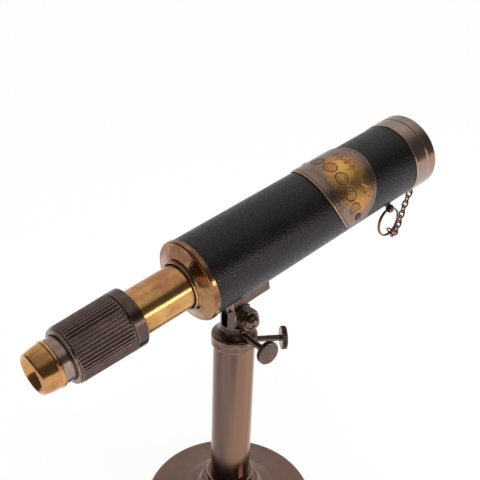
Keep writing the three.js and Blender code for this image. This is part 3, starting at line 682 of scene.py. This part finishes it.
def make_stand():
    turned("fine_base_felt", [(0, 0), (58, 0), (58, 1.2), (0, 1.2)], COLUMN, "stand", "green_felt")
    turned("fine_base_body", [
        (10, 1.5), (59, 1.5), (59.97, 3.0), (59.97, 5.2), (58.6, 7.2), (54.6, 7.9), (54.2, 8.9),
        *arc(50.6, 34, 24.6, -82, -90, 2), (34, 13.4, 6), (24, 17.6, 5), (20.6, 20.6), (20.6, 21.6),
        *arc(18.4, 23.7, 2.1, -75, 75), (17.2, 26.3), (16.6, 27.4), (16.6, 31.7), (11.4, 31.7),
        (11.4, 17), (4.5, 17), (4.5, 10), (10, 10),
    ], COLUMN, "stand", "foot_bronze")
    low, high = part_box("column_tube")
    head = AXIS_HEIGHT - HEAD_FOOT_DROP
    turned("fine_column_tube", [
        (11.2, low.z / MM), (13.8, low.z / MM), (13.8, head), (HEAD_R, head), (HEAD_R, high.z / MM),
        (11.2, high.z / MM),
    ], COLUMN, "stand", "copper_bronze", radius=0.3)


def make_neck():
    foot = AXIS_HEIGHT - NECK_FOOT_DROP
    top = AXIS_HEIGHT - 54.7
    turned("fine_neck_collar", [
        (6.3, foot - 8), (8, foot - 8), (8, foot), (HEAD_R, foot), (HEAD_R, foot + 1.1, 0.5),
        (14.6, foot + 2.0, 0.6), (12.4, foot + 3.3, 2), (10.7, foot + 4.7, 2), (9.8, foot + 6.1, 1),
        (9.6, top), (6.3, top),
    ], COLUMN, "neck", "dark_bronze", radius=0.25)
    low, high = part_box("lift_post")
    turned("fine_lift_post", ring(8.4, 10.8, low.z / MM, high.z / MM), COLUMN, "neck", "copper_bronze")


def knurl(teeth, depth, start, stop):
    """Rounded teeth on the stretch of a turned piece between two places."""
    def shape(angle, place, r):
        if r < 5 or not start <= place <= stop:
            return r
        return r - depth * (0.5 - 0.5 * math.cos(teeth * angle))
    return shape


def make_thumbscrew(node, body, joint, tip, reach):
    """A lock screw: threaded shaft, neck and a flat knurled head with a slightly domed face."""
    thread = []
    place = tip + 1.2
    while place < reach - 13.5:
        thread += [(SHAFT_R, place, 0), (SHAFT_R, place + 0.2, 0), (SHAFT_R - 0.3, place + 0.45, 0),
                   (SHAFT_R, place + 0.7, 0)]
        place += THREAD_PITCH
    head = reach - 4
    turned("fine_" + node, [
        (0, tip), (1.5, tip), *thread, (SHAFT_R, reach - 12.5), (SHAFT_R, head),
        (KNOB_R - 0.5, head), (KNOB_R, head + 0.5), (KNOB_R, reach - 0.8), (KNOB_R - 0.5, reach - 0.3),
        (4.0, reach - 0.1, 2), (0, reach),
    ], sideways(joint), body, "dark_bronze", replaced=[node], segments=192,
        shape=knurl(36, 0.45, head + 0.3, reach - 0.6), radius=0.2)


# ---- Fork, pivot and saddle ------------------------------------------------------------

CROWN_R = 5.2
BORE_R = 4.3


def make_fork():
    foot, top = AXIS_HEIGHT - 54.2, AXIS_HEIGHT - 37.6
    ledge = AXIS_HEIGHT - 51.7
    stock = turned_mesh("fork", [
        (0, foot - 19), (6, foot - 19), (6, foot), (9.5, foot), (9.5, foot + 0.9), (9.15, foot + 1.1),
        (9.15, foot + 1.4), (9.5, foot + 1.6), (9.5, top), (0, top),
    ], COLUMN, segments=96, radius=0.2)
    shoulder = FORK_R - CROWN_R
    crown = [(foot - 20, -11), (foot - 20, 11), (PIVOT_HEIGHT, 11), (PIVOT_HEIGHT + 0.9, FORK_R)]
    for i in range(1, 24):
        angle = math.pi * i / 24
        side = shoulder if angle < math.pi / 2 else -shoulder
        crown.append((PIVOT_HEIGHT + 0.9 + CROWN_R * math.sin(angle), side + CROWN_R * math.cos(angle)))
    crown += [(PIVOT_HEIGHT + 0.9, -FORK_R), (PIVOT_HEIGHT, -11)]
    profile = prism_mesh("crown", crown, -12, 12,
                         axes_matrix(Vector((0, 1, 0)), Vector((0, 0, 1)), Vector((1, 0, 0)), Vector()))
    cuts = [box_mesh("slot", (-12, -SLOT_HALF, ledge), (12, SLOT_HALF, top + 2), UPRIGHT),
            box_mesh("near_flat", (-12, -12, ledge), (12, -CHEEK_Y, top + 2), UPRIGHT),
            box_mesh("far_flat", (-12, CHEEK_Y, ledge), (12, 12, top + 2), UPRIGHT),
            turned_mesh("bore", [(0, -12), (BORE_R, -12), (BORE_R, 12), (0, 12)], CROSSWISE, 48, radius=0),
            turned_mesh("screw_hole", [(0, foot - 21), (1.9, foot - 21), (1.9, foot - 9), (0, foot - 9)],
                        COLUMN, 24, radius=0)]
    mesh = combine(stock, [("INTERSECT", profile)] + [("DIFFERENCE", cut) for cut in cuts])
    machined("fine_fork", mesh, "fork", "dark_bronze", ["fork"], bevel=0.28)


def make_pivot():
    for node, start in (("pivot_washer_near", -8.3), ("pivot_washer_far", 7.3)):
        turned("fine_" + node, ring(BORE_R, 7, start, start + 1), CROSSWISE, "fork", "dark_bronze",
               segments=MEDIUM)
    head = 8.5
    bolt = turned_mesh("pivot_bolt", [
        (0, -15.4), (4, -15.4), (4, head), (6.4, head), (6.4, head + 2.2), (5.0, head + 3.6, 1.2),
        (0, head + 4),
    ], CROSSWISE, MEDIUM)
    slot = box_mesh("slot", (head + 2.7, -0.6, -7), (head + 5, 0.6, 7), CROSSWISE)
    machined("fine_pivot_bolt", combine(bolt, [("DIFFERENCE", slot)]), "fork", "dark_bronze",
             ["pivot_bolt"], bevel=0.12)
    across = 7.5
    spin = -TILT
    corners = [(across * math.cos(spin + math.pi * i / 3), across * math.sin(spin + math.pi * i / 3))
               for i in range(6)]
    hexagon = prism_mesh("nut", [(z, x) for x, z in corners], -15.6, -8.5, CROSSWISE)
    chamfer = turned_mesh("chamfer", [
        (0, -15.6), (6.6, -15.6), (7.6, -15.0), (7.6, -9.1), (6.6, -8.5), (0, -8.5),
    ], CROSSWISE, FINE, radius=0)
    dome = turned_mesh("dome", [
        (0, -20.7), *arc(0, -15.3, 5.4, -84, 0, 12), (5.4, -14.6), (0, -14.6)], CROSSWISE, MEDIUM, radius=0)
    bore = turned_mesh("bore", [(0, -15.9), (4.15, -15.9), (4.15, -8), (0, -8)], CROSSWISE, 48, radius=0)
    nut = combine(hexagon, [("INTERSECT", chamfer), ("UNION", dome), ("DIFFERENCE", bore)])
    machined("fine_pivot_cap_nut", nut, "fork", "nut_bronze", ["pivot_cap_nut"], bevel=0.15)


def make_saddle():
    """The block under the barrel, hollowed to its curve, and the tongue that turns in the fork."""
    pivot_along = -PIVOT_DROP * math.sin(TILT)
    pivot_below = -PIVOT_DROP * math.cos(TILT)
    block = box_mesh("block", (SADDLE_FROM, -SADDLE_HALF, SADDLE_BOTTOM),
                     (SADDLE_TO, SADDLE_HALF, -23), TUBE)
    flat = [(pivot_along + 7.6, SADDLE_BOTTOM + 1), (pivot_along - 7.6, SADDLE_BOTTOM + 1)]
    turns = [math.pi + math.pi * i / 24 for i in range(25)]
    flat += [(pivot_along + 6.6 * math.cos(a), pivot_below + 6.6 * math.sin(a)) for a in turns]
    tongue = prism_mesh("tongue", flat, -2.6, 2.6, axes_matrix(ACROSS, ALONG, ABOVE, AXIS_POINT))
    barrel = turned_mesh("barrel", [(0, -60), (26.3, -60), (26.3, 60), (0, 60)], TUBE, FINE, radius=0)
    pin = axes_matrix(ACROSS, ABOVE, ALONG, PIVOT)
    bore = turned_mesh("bore", [(0, -5), (BORE_R, -5), (BORE_R, 5), (0, 5)], pin, 48, radius=0)
    mesh = combine(block, [("UNION", tongue), ("DIFFERENCE", barrel), ("DIFFERENCE", bore)])
    machined("fine_mount_saddle", mesh, "barrel", "dark_bronze", ["mount_saddle"], bevel=0.3)


# ---- Barrel ----------------------------------------------------------------------------

def make_barrel():
    turned("fine_leather_wrap", [
        (25.2, LEATHER_FROM), (LEATHER_R, LEATHER_FROM, 0.5), (LEATHER_R, -10, 0), (LEATHER_R, 20, 0),
        (LEATHER_R, 60, 0), (LEATHER_R, 100, 0), (LEATHER_R, LEATHER_TO, 0.5), (25.2, LEATHER_TO),
    ], TUBE, "barrel", "black_leather", segments=192)
    turned("fine_draw_flange", [
        (15.2, -46.2), (16.1, -46.2, 0.3), (16.5, -45.7, 0.3), (16.4, -44.8, 0.3), (17.5, -43.7, 1.5),
        (19.6, -42.65, 3), (22.2, -41.65, 3), (24.2, -41.0, 0.5), (24.75, -40.85, 0.2),
        *arc(25.1, -39.3, 1.6, -74, 0, 10), (FLANGE_R, -37.6), (FLANGE_R, -37.0, 0.1),
        (23.5, -37.0), (23.5, -29), (15.2, -29),
    ], TUBE, "barrel", "tarnish_and_shade_brass", segments=192, radius=0.25)
    turned("fine_lens_cell", [
        (25.2, BAND_FROM), (26.2, BAND_FROM, 0.2), (BAND_R, BAND_FROM + 0.5, 0.3),
        (BAND_R, BAND_TO - 0.5, 0.25), (26.25, BAND_TO, 0.2), (SPIGOT_R, BAND_TO),
        (SPIGOT_R, SPIGOT_TO), (23.4, SPIGOT_TO), (23.4, 156),
        (21.2, 156), (21.2, 152.3), (25.2, 152.3),
    ], TUBE, "barrel", "band_bronze", segments=192, radius=0.25)
    turned("fine_objective_lens", [
        (0, 156.3), (23, 156.3), (23, 158.2), *lens_face(23, 158.2, 2.4), (0, 160.6),
    ], TUBE, "barrel", "lens_glass", segments=96, radius=0.2)
    turned("fine_lens_retaining_ring", ring(21.2, 23, 159, 160.7), TUBE, "barrel", "dark_bronze",
           segments=96)
    turned("fine_barrel_tube", ring(23.9, 24.9, -36.4, 152), TUBE, "barrel", "polished_brass", segments=96)


def lens_face(radius, edge_place, bulge):
    """Points of a bulging lens face, from the rim towards the axis."""
    steps = 8
    fractions = [1 - i / steps for i in range(1, steps)]
    return [(radius * f, edge_place + bulge * (1 - f * f), 0) for f in fractions]


# ---- Nameplate -------------------------------------------------------------------------

def plate_half_width(u):
    """The plate's half width at u, which runs from -1 to 1 round the barrel."""
    return PLATE_HALF_WIDTH * math.sqrt(1 - (abs(u) * 0.985) ** 1.7)


def line(distance, width):
    """1 on a cut line, falling to 0 at its sides."""
    return np.clip(1.5 - np.abs(distance) / (width / 2), 0, 1)


def medallion(x, y, radius, petals):
    """An engraved flower inside a bold ring and a fine one, centred on the origin."""
    r = np.hypot(x, y)
    petal = radius * (0.26 + 0.34 * np.abs(np.cos(petals * np.arctan2(y, x) / 2)) ** 0.7)
    cut = line(r - radius, 0.85)
    cut = np.maximum(cut, line(r - radius * 0.76, 0.30) * 0.7)
    cut = np.maximum(cut, line(r - petal, 0.42) * (r < radius * 0.7))
    return np.maximum(cut, line(r, 0.9))


def vine(x, y, pitch, swing):
    """A wavy stem along x with a round leaf, and a berry beyond it, inside each bend."""
    cut = line(y - swing * np.sin(2 * math.pi * x / pitch), 0.5)
    bend = np.floor(2 * x / pitch)
    side = np.where(bend % 2 == 0, -1.0, 1.0)
    leaf_x, leaf_y = x - (bend + 0.5) * pitch / 2, y - side * swing * 0.35
    leaf = np.hypot(leaf_x, leaf_y)
    cut = np.maximum(cut, line(leaf - 1.15, 0.5))
    cut = np.maximum(cut, line(leaf, 0.7))
    return np.maximum(cut, line(np.hypot(leaf_x, y + side * swing * 1.75), 1.0))


def ornament(arc_mm, along_mm):
    """How deep the plate is cut, 0 to 1: a row of medallions between a vine and a smaller, fainter one."""
    middle, spacing, radius = 6.1, 11.1, 4.5
    row_at, stem_at, small_at = -3.3, 9.3, -14.2
    x = arc_mm - middle
    cut = np.zeros_like(arc_mm)
    for i in range(-2, 3):
        cut = np.maximum(cut, medallion(x - i * spacing, along_mm - row_at, radius, 5 + i % 2))
    cut = cut * (np.abs(arc_mm - 4) < 26)
    stem = vine(x, along_mm - stem_at, spacing, 2.0) * (np.abs(along_mm - stem_at) < 5.5)
    stem = stem * (np.abs(x) < 19.4)
    small = vine(x, along_mm - small_at, 7.4, 1.1) * (np.abs(along_mm - small_at) < 3.2) * 0.45
    return np.maximum(np.maximum(cut, stem), small * (np.abs(x) < 18.5))


def make_nameplate():
    across_count, along_count = 340, 180
    reach = PLATE_R * PLATE_HALF_SPAN
    us = np.linspace(-1, 1, across_count)
    vs = np.sign(np.linspace(-1, 1, along_count)) * np.abs(np.linspace(-1, 1, along_count)) ** 0.93
    u, v = np.meshgrid(us, vs, indexing="ij")
    half = np.vectorize(plate_half_width)(u)
    along = v * half
    arc_mm = u * reach
    rim = np.minimum(half - np.abs(along), reach - np.abs(arc_mm))
    cut = ornament(arc_mm, along)
    border = line(rim - 1.9, 0.42)
    cut = np.where(rim > 2.6, cut, border)
    round_off = 0.28 * np.clip(1 - rim / 0.45, 0, 1) ** 2
    top = PLATE_R + PLATE_T - round_off - 0.16 * np.clip(cut, 0, 1)
    angle = PLATE_ANGLE + u * PLATE_HALF_SPAN
    away = np.hypot((arc_mm - 8.5) / 22, (along - 2) / 14)
    patina = np.clip(0.03 + 0.62 * away ** 1.7, 0, 1)
    # The border mark along the rim brightens it for wear and as a painted highlight.
    edge = np.clip(1 - rim / 0.7, 0, 1)
    points, layers = [], {"edge": [], "patina": [], "engraved": []}
    for radius, wear_and_glint, engraved in ((top, edge, cut), (np.full_like(top, PLATE_R), edge * 0, cut * 0)):
        grid = np.stack([PLATE_AT + along, -radius * np.sin(angle), radius * np.cos(angle)], -1)
        points += [tuple(p) for p in grid.reshape(-1, 3)]
        layers["edge"] += list(wear_and_glint.ravel())
        layers["patina"] += list(patina.ravel())
        layers["engraved"] += list(np.clip(engraved, 0, 1).ravel())
    size = across_count * along_count
    faces = []
    for i in range(across_count - 1):
        for j in range(along_count - 1):
            a = i * along_count + j
            faces.append([a, a + 1, a + along_count + 1, a + along_count])
            faces.append([size + a, size + a + along_count, size + a + along_count + 1, size + a + 1])
    rim_loop = [i * along_count for i in range(across_count)]
    rim_loop += [(across_count - 1) * along_count + j for j in range(1, along_count)]
    rim_loop += [i * along_count + along_count - 1 for i in range(across_count - 2, -1, -1)]
    rim_loop += list(range(along_count - 2, 0, -1))
    faces += [[a, b, b + size, a + size] for a, b in zip(rim_loop, rim_loop[1:] + rim_loop[:1])]
    mesh = mesh_from("nameplate", points, faces, TUBE, layers)
    fix_normals(mesh)
    finish_piece("fine_nameplate", mesh, "barrel", "aged_plate", ["nameplate"], weighted=False)
    for i, screw_angle in enumerate(PLATE_SCREWS):
        make_slotted_screw(f"nameplate_screw_{i + 1}", screw_angle)


def make_slotted_screw(node, angle):
    seat = PLATE_R + PLATE_T + 0.05
    axes = on_tube(angle, PLATE_AT)
    screw = turned_mesh(node, [
        (0, 23.2), (1.2, 23.2), (1.2, seat), (2.9, seat), (2.8, seat + 0.5, 0.3), (1.7, seat + 1.05, 0.8),
        (0, seat + 1.2)], axes, MEDIUM, radius=0.15)
    slot = box_mesh("slot", (seat + 0.55, -0.33, -4), (seat + 2, 0.33, 4),
                    axes @ Matrix.Rotation(0.6, 4, "X"))
    machined("fine_" + node, combine(screw, [("DIFFERENCE", slot)]), "barrel", "dark_bronze", [node],
             bevel=0.07)


# ---- Draw tube, grip and eyepiece ------------------------------------------------------

def make_draw():
    turned("fine_draw_tube", ring(DRAW_R - 0.9, DRAW_R, DRAW_FROM, DRAW_TO), TUBE, "draw", "polished_brass",
           segments=FINE, radius=0.3)
    turned("fine_draw_stop_ring", ring(DRAW_R + 0.3, 17.2, -5, -2), TUBE, "draw", "dark_bronze",
           segments=96)


def flute(angle, place, r):
    """Narrow valleys between rounded crests, fading out at both ends of the fluted stretch."""
    if r < FLUTED_R or not FLUTES_FROM <= place <= FLUTES_TO:
        return r
    fade = min(1, (FLUTES_TO - place) / FLUTE_FADE, (place - FLUTES_FROM) / FLUTE_FADE)
    wave = 0.5 + 0.5 * math.cos(FLUTES * angle)
    return r - FLUTE_DEPTH * max(0.0, fade) * (1 - wave ** 0.55)


def make_grip():
    band = GRIP_TO - GRIP_BAND_WIDTH
    rear, front = FLUTES_FROM, FLUTES_TO
    places = [rear, rear + 0.4, rear + FLUTE_FADE, rear + 8, rear + 17,
              front - 8, front - FLUTE_FADE, front - 0.4, front]
    flutes = [(GRIP_REAR_R + (GRIP_FRONT_R - GRIP_REAR_R) * (p - rear) / (front - rear), p, 0)
              for p in places]
    turned("fine_grip_sleeve", [
        (14.3, GRIP_FROM + 1.7), (17.3, GRIP_FROM + 1.7), *flutes, (17.7, band - 0.7, 0.2),
        (17.7, band - 0.3, 0.2), (18.2, band, 0.2), (GRIP_BAND_R, band + 0.3, 0.25),
        (GRIP_BAND_R, GRIP_TO - 0.8, 0.5), (17.7, GRIP_TO), (14.9, GRIP_TO), (14.9, GRIP_TO - 3),
        (16.2, GRIP_TO - 3), (16.2, GRIP_FROM + 4.6), (14.3, GRIP_FROM + 4.6),
    ], TUBE, "grip", "grip_bronze", segments=FLUTES * 10, shape=flute, radius=0.25,
       dark_from=band - 0.5)
    turned("fine_grip_end_ring", [
        (14.3, GRIP_FROM), (16.4, GRIP_FROM), (17.1, GRIP_FROM + 0.5), (17.1, GRIP_FROM + 1.4),
        (14.3, GRIP_FROM + 1.4)], TUBE, "grip", "grip_bronze", radius=0.3)


def make_eyepiece():
    turned("fine_eyepiece_tube", [
        (12.2, NECK_TO), (13.8, NECK_TO), (13.8, -119), (13.2, -119), (13.2, -98), (12.2, -98)],
        TUBE, "eyepiece", "band_bronze", radius=0.25)
    to = NECK_TO
    turned("fine_eyecup", [
        (6, to - 7.5), (9, to - 11.6, 1.5), *arc(10.6, to - 11.2, 2.15, -100, -20), (13.6, to - 6.6, 2),
        (13.9, to - 2.6), (14.4, to - 2.0, 0.2), (14.4, to - 0.9, 0.2), (14.1, to - 0.3), (11.9, to - 0.3),
        (11.9, to + 6), (11, to + 6), (11, to - 5.4), (6, to - 5.4)],
        TUBE, "eyepiece", "polished_brass", radius=0.3)
    faces = lens_face(10.7, 0, 1.1)
    back = [(r, to - 4.2 - p, 0) for r, p, _ in reversed(faces)]
    front = [(r, to - 3 + p, 0) for r, p, _ in faces]
    turned("fine_eyepiece_lens", [
        (0, to - 5.1), *back, (10.7, to - 4.2), (10.7, to - 3), *front, (0, to - 1.9),
    ], TUBE, "eyepiece", "lens_glass", segments=96, radius=0.15)
    turned("fine_eyepiece_lens_ring", ring(9.2, 10.7, to - 1.85, to - 0.4), TUBE, "eyepiece",
           "dark_bronze", segments=96)


# ---- Dust cap, keeper ring and chain ---------------------------------------------------

def make_dust_cap():
    turned("fine_dust_cap", [
        (0, 162.7), (25.25, 162.7), (25.25, CAP_FROM), (26.1, CAP_FROM, 0.2),
        (BAND_R, CAP_FROM + 0.5, 0.3), (BAND_R, 162.6, 0), *arc(BAND_R - 1.9, 162.6, 1.9, 8, 82),
        (24.2, CAP_TO, 0.2), (22.6, CAP_TO - 0.1, 0.3), (22.2, CAP_TO - 0.6, 0.3),
        (9.0, CAP_TO - 0.6, 0.3), (8.6, CAP_TO - 0.35, 0.2), (7.6, CAP_TO - 0.35, 0.2),
        (7.2, CAP_TO - 0.6, 0.3), (0, CAP_TO - 0.55),
    ], TUBE, "cap", "band_bronze", segments=192, radius=0.25)


def node_axes(node):
    """The middle of a CAD node and its long, middle and short directions, from its points."""
    points = np.array([v.co for v in frame["nodes"][node].data.vertices], float)
    middle = (points.max(0) + points.min(0)) / 2
    centred = points - points.mean(0)
    _, vectors = np.linalg.eigh(centred.T @ centred)
    long, mid = Vector(vectors[:, 2]), Vector(vectors[:, 1])
    return axes_matrix(long, mid, long.cross(mid), Vector(points.mean(0)))


def oval(bend, straight):
    """An oval wire path: two half circles moved apart."""
    turns = 40
    path = []
    for i in range(turns):
        angle = 2 * math.pi * (i + 0.5) / turns
        shift = math.copysign(straight / 2, math.cos(angle))
        path.append((bend * math.cos(angle) + shift, bend * math.sin(angle), 0))
    return path


def make_chain():
    prefix = "chain_link_"
    links = sorted((n for n in frame["nodes"] if n.startswith(prefix)), key=lambda n: int(n[len(prefix):]))
    for node in links:
        path = oval(LAST_LINK_R, 0) if node == links[-1] else oval(LINK_BEND_R, LINK_STRAIGHT)
        mesh = swept_mesh(node, path, LINK_WIRE_R, axes=node_axes(node))
        finish_piece("fine_" + node, mesh, "cap", "chain_copper", [node], weighted=False)


def make_keeper():
    """A split ring: two turns of round wire side by side, with the wire's ends overlapping."""
    path = []
    turns = 160
    for i in range(turns + 1):
        t = i / turns
        angle = 4 * math.pi * t + 0.9
        step = min(1, max(0, (t - 0.46) / 0.08))
        aside = KEEPER_ASIDE * (2 * step * step * (3 - 2 * step) - 1)
        path.append((KEEPER_R * math.sin(angle), aside, -KEEPER_R + KEEPER_R * math.cos(angle)))
    mesh = swept_mesh("keeper", path, KEEPER_STRAND_R, closed=False,
                      axes=Matrix.Translation(KEEPER_TOP) @ UPRIGHT)
    finish_piece("fine_keeper_ring", mesh, "keeper", "chain_copper", ["keeper_ring"], weighted=False)
    ball = 3.0
    stud = turned_mesh("stud", [
        (0, 23.2), (1.5, 23.2), (1.5, 26.1), (2.6, 26.15), (2.5, 26.6),
        *arc(0, STUD_REACH, ball, -62, 88, 18), (0, STUD_REACH + ball),
    ], on_tube(STUD_ANGLE, STUD_AT), MEDIUM, radius=0.1)
    # The eye leans half way to where the ring has swung when the cap is fully out.
    leaning = axes_matrix(Vector((math.cos(STUD_LEAN), 0, math.sin(STUD_LEAN))), ACROSS,
                          Vector((-math.sin(STUD_LEAN), 0, math.cos(STUD_LEAN))), KEEPER_TOP)
    eye = turned_mesh("eye", [(0, -6), (1.9, -6), (1.9, 6), (0, 6)], leaning, 32, radius=0)
    machined("fine_keeper_stud", combine(stud, [("DIFFERENCE", eye)]), "barrel", "dark_bronze",
             ["keeper_stud"], bevel=0.12)
    lug_axes = on_tube(LUG_ANGLE, LUG_AT)
    lug = turned_mesh("lug", [(0, 25.9), (0.7, 25.9), (0.7, 27.2), (1.7, 27.2), (1.7, 27.8), (0, 27.8)],
                      lug_axes, 48, radius=0.15)
    eye_path = [(LUG_REACH + LUG_EYE_R * math.cos(a), LUG_EYE_R * math.sin(a), 0)
                for a in (2 * math.pi * i / 40 for i in range(40))]
    eye = swept_mesh("lug_eye", eye_path, LUG_WIRE_R, axes=lug_axes)
    mesh = combine(lug, [("UNION", eye)])
    finish_piece("fine_cap_lug", mesh, "cap", "dark_bronze", ["cap_lug"])


KEPT = {"mirror_glass": ["mirror_1", "mirror_2", "mirror_3"],
        "dark_bronze": ["mirror_disc_eye_end", "mirror_disc_lens_end", "base_bolt", "base_washer",
                        "column_foot", "fork_retainer_screw", "saddle_screw_1", "saddle_screw_2",
                        "focus_key"]}


def dress_kept_nodes():
    """The inner CAD nodes keep their shapes and get their materials."""
    for material_name, nodes in KEPT.items():
        for node in nodes:
            data = frame["nodes"][node].data
            data.materials.clear()
            data.materials.append(MATERIALS[material_name][0])


make_camera()
make_floor()
make_world()
make_lights()
make_stand()
make_neck()
make_thumbscrew("pan_thumbscrew", "pan_screw", "pan_screw_turn", 6.3, 35.4)
make_thumbscrew("lift_thumbscrew", "lift_screw", "lift_screw_turn", 11.1, 35.0)
make_fork()
make_pivot()
make_saddle()
make_barrel()
make_nameplate()
make_draw()
make_grip()
make_eyepiece()
make_dust_cap()
make_chain()
make_keeper()
dress_kept_nodes()
